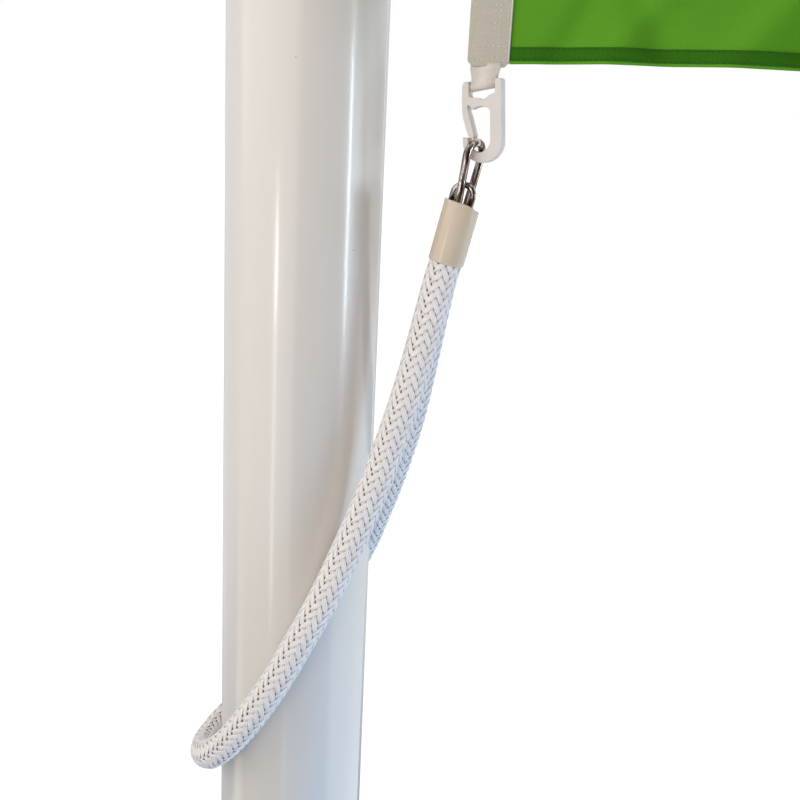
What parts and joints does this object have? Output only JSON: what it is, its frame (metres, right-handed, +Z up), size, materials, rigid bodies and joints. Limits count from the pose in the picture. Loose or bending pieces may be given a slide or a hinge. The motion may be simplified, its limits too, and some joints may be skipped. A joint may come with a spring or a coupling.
{
  "type": "flagpole with banner arm and weighted flag loop",
  "caption": "Tapered white flagpole on a bolted foot, with a swivelling banner arm, a tall green flag and a weighted rope loop clipped to the flag's lower corner.",
  "frame": {"origin": "middle of the base plate's underside, at ground level on the pole's axis", "axes": "+Z up along the pole, +X along the banner arm towards the flag's outer edge"},
  "size_m": [1.304, 0.3, 4.787],
  "materials": {
    "white_gloss": "glossy white gel coat",
    "galvanised_steel": "dull hot-dip zinc",
    "black_rubber": "matt moulded rubber",
    "cast_aluminium": "satin anodised",
    "polished_steel": "polished stainless wire",
    "cream_plastic": "satin moulded plastic",
    "ivory_plastic": "satin ivory moulding",
    "braided_rope": "white plaited yarn",
    "canvas_tape": "woven off-white tape",
    "flag_cloth": "green woven flag polyester"
  },
  "bodies": {
    "pole": {"base_plate": "galvanised_steel", "foot_sleeve": "galvanised_steel", "foot_ribs": "galvanised_steel", "rain_collar": "black_rubber", "pole_shaft": "white_gloss", "top_plug": "cast_aluminium", "spindle": "polished_steel", "thrust_washer": "cream_plastic"},
    "banner": {"swivel_head": "white_gloss", "head_cap": "white_gloss", "banner_arm": "cast_aluminium", "arm_end_cap": "black_rubber", "arm_hem": "flag_cloth", "flag_cloth": "flag_cloth", "heading_tape": "canvas_tape", "webbing_loop": "canvas_tape", "snap_clip": "cream_plastic", "pear_link": "polished_steel", "weight_eye": "polished_steel", "weight_ferrule": "ivory_plastic", "weight_rope": "braided_rope"}
  },
  "joints": [
    {"name": "flag_swing", "type": "hinge", "parent": "pole", "child": "banner", "pos_m": [0, 0, 4.7], "axis": [0, 0, 1], "continuous": true}
  ]
}
